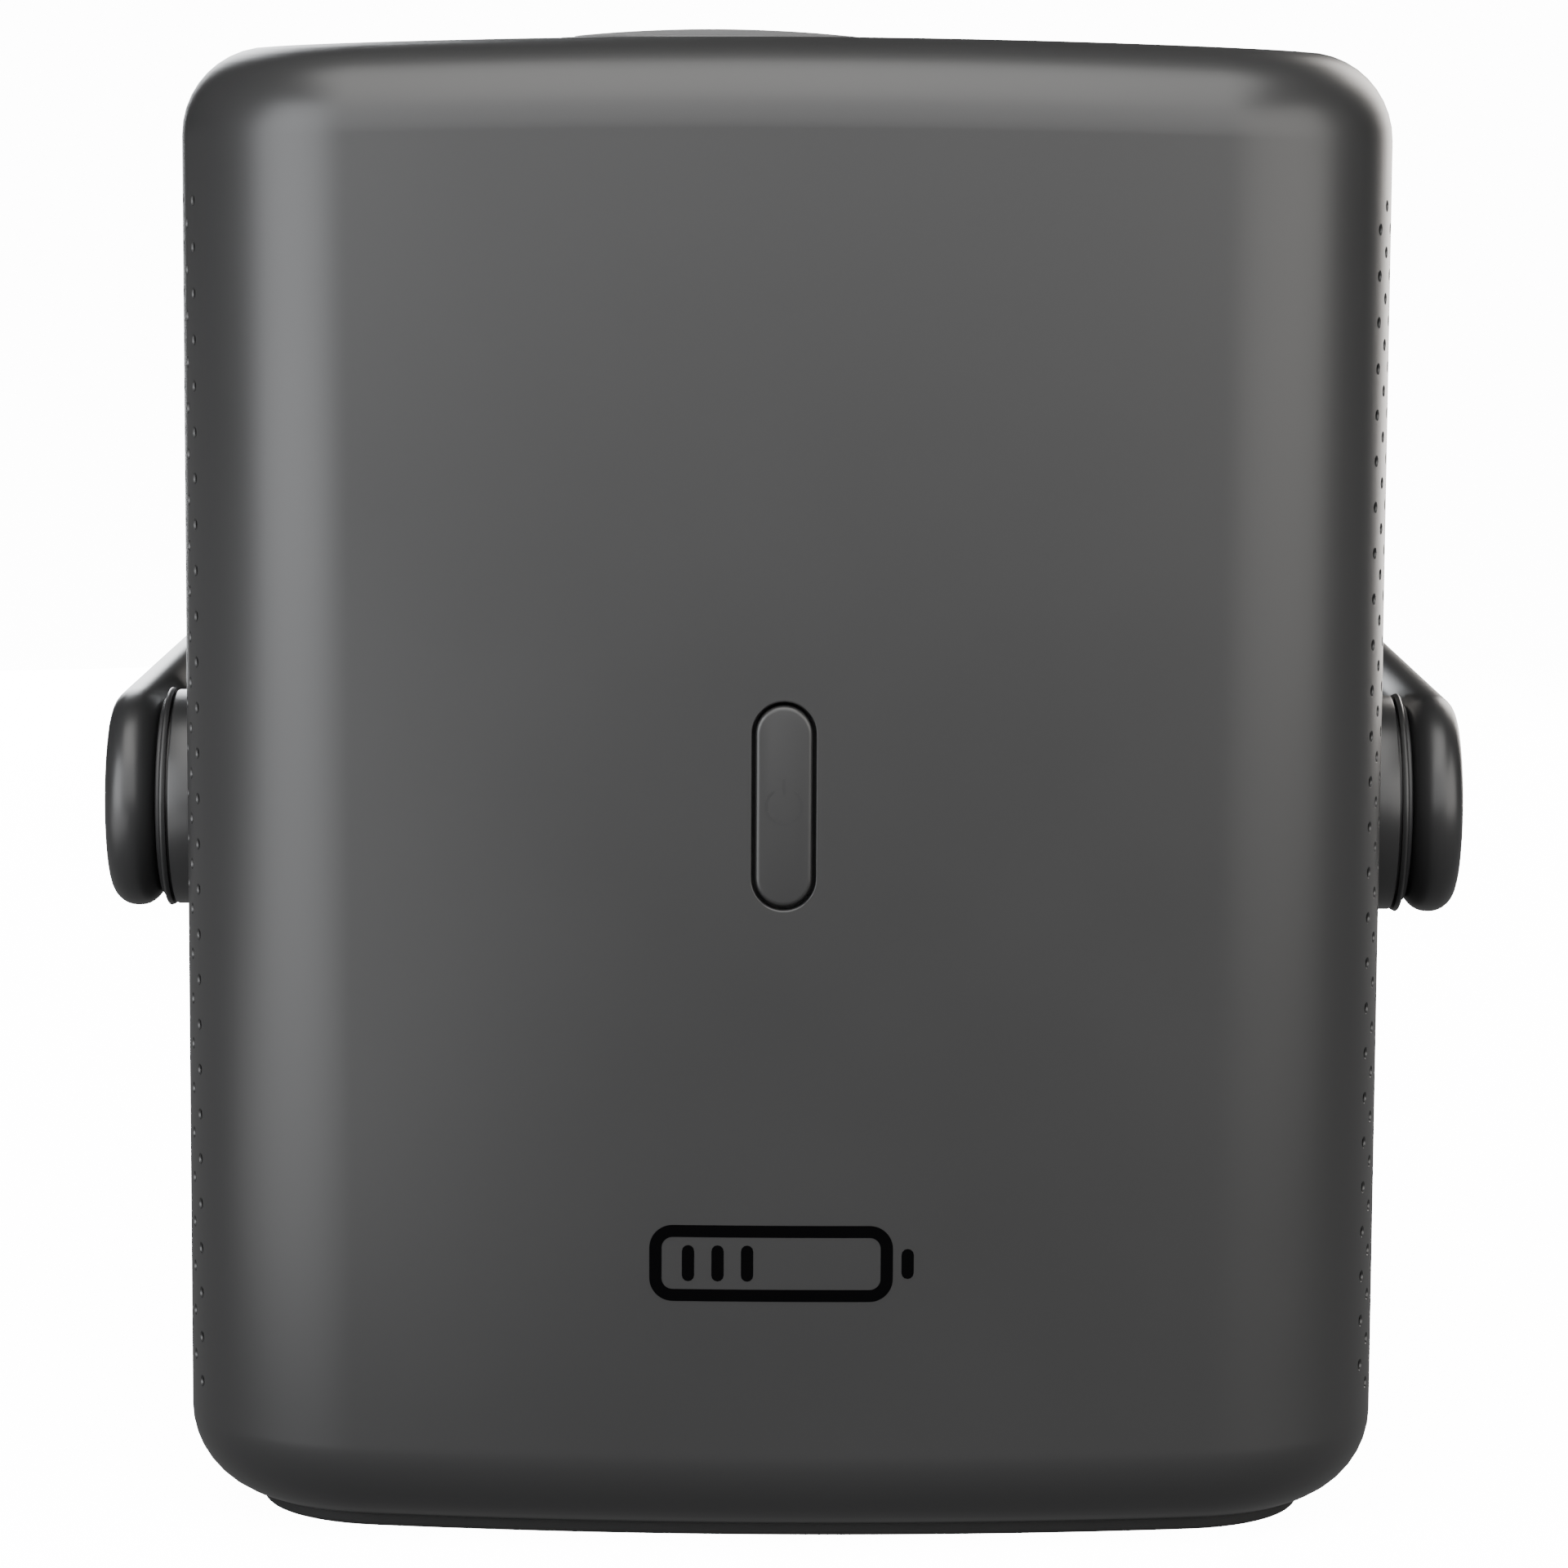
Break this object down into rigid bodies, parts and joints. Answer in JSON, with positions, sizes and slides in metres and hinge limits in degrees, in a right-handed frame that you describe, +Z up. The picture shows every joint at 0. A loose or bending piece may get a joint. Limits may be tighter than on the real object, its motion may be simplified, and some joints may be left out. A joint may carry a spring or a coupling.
{
  "type": "portable power station",
  "caption": "Upright box-shaped portable power station with rounded corners, vented sides, a front power button and a swinging U-shaped carry handle.",
  "frame": {"origin": "middle of the underside of the foot that it stands on", "axes": "+X to the right seen from the front, +Y to the rear, +Z up"},
  "size_m": [0.2334, 0.2478, 0.248],
  "materials": {
    "housing": "fine satin texture",
    "handle": "smooth satin",
    "black_plastic": "fine texture",
    "rubber": "soft matte",
    "pad": "soft touch",
    "screw_steel": "zinc plated",
    "port_steel": "stamped",
    "brass": "gold flashed",
    "copper": "enamelled wire",
    "circuit_board": "solder mask",
    "screen": "polished",
    "lens": "milky",
    "port_blue": "moulded",
    "cell_wrap": "shrink sleeve over a metal can",
    "lead_red": "silicone",
    "aluminium": "extruded",
    "core": "taped",
    "capacitor": "sleeved"
  },
  "bodies": {
    "station": {"front_housing": "housing", "rear_cover": "housing", "base_foot": "rubber", "foot_screws": "screw_steel", "cover_screws": "screw_steel", "button_guide": "black_plastic", "button_board": "circuit_board", "push_switches": "port_steel", "left_pivot_hub": "handle", "right_pivot_hub": "handle", "left_friction_washer": "black_plastic", "right_friction_washer": "black_plastic", "left_pivot_screw": "screw_steel", "right_pivot_screw": "screw_steel", "left_hub_nut": "screw_steel", "right_hub_nut": "screw_steel", "charging_pad": "pad", "pad_ring": "housing", "charging_coil": "copper", "coil_shield": "black_plastic", "rear_panel": "black_plastic", "display_window": "screen", "display_module": "circuit_board", "lamp_lens": "lens", "lamp_board": "circuit_board", "upper_mains_socket": "black_plastic", "lower_mains_socket": "black_plastic", "mains_terminals": "brass", "usb_a_shells": "port_steel", "usb_a_tongues": "port_blue", "usb_c_shells": "port_steel", "usb_c_tongues": "black_plastic", "dc_jacks": "black_plastic", "dc_jack_pins": "port_steel", "car_socket": "black_plastic", "cap_hinge_pin": "screw_steel", "port_board": "circuit_board", "battery_cells": "cell_wrap", "lower_cell_holder": "black_plastic", "upper_cell_holder": "black_plastic", "bus_bars": "port_steel", "battery_board": "circuit_board", "battery_leads": "lead_red", "inner_frame": "black_plastic", "inverter_board": "circuit_board", "transformer": "core", "capacitors": "capacitor", "heat_sinks": "aluminium", "fan_frame": "black_plastic", "fan_screws": "screw_steel"},
    "carry_handle": {"handle": "handle", "handle_grip": "rubber", "left_pivot_cap": "handle", "right_pivot_cap": "handle"},
    "front_button": {"power_button": "housing"},
    "mains_button": {"ac_button": "handle"},
    "dc_switch_button": {"dc_button": "handle"},
    "light_button": {"lamp_button": "handle"},
    "fan_wheel": {"fan_rotor": "black_plastic"},
    "socket_cap": {"car_socket_cap": "rubber"}
  },
  "joints": [
    {"name": "handle_swing", "type": "hinge", "parent": "station", "child": "carry_handle", "pos_m": [0, 0, 0.115], "axis": [1, 0, 0], "range_deg": [-30, 200]},
    {"name": "power_press", "type": "slide", "parent": "station", "child": "front_button", "axis": [0, 1, 0], "range_m": [0, 0.0008], "stiffness_N_per_m": 1500, "springref_m": -0.0006},
    {"name": "ac_press", "type": "slide", "parent": "station", "child": "mains_button", "axis": [0, -1, 0], "range_m": [0, 0.0006], "stiffness_N_per_m": 1500, "springref_m": -0.0006},
    {"name": "dc_press", "type": "slide", "parent": "station", "child": "dc_switch_button", "axis": [0, -1, 0], "range_m": [0, 0.0006], "stiffness_N_per_m": 1500, "springref_m": -0.0006},
    {"name": "lamp_press", "type": "slide", "parent": "station", "child": "light_button", "axis": [0, -1, 0], "range_m": [0, 0.0006], "stiffness_N_per_m": 1500, "springref_m": -0.0006},
    {"name": "fan_spin", "type": "hinge", "parent": "station", "child": "fan_wheel", "pos_m": [0.0784, -0.006, 0.2057], "axis": [1, 0, 0], "continuous": true},
    {"name": "cap_swing", "type": "hinge", "parent": "station", "child": "socket_cap", "pos_m": [-0.0244, 0.077, 0.07315], "axis": [0, 0, -1], "range_deg": [0, 110]}
  ]
}
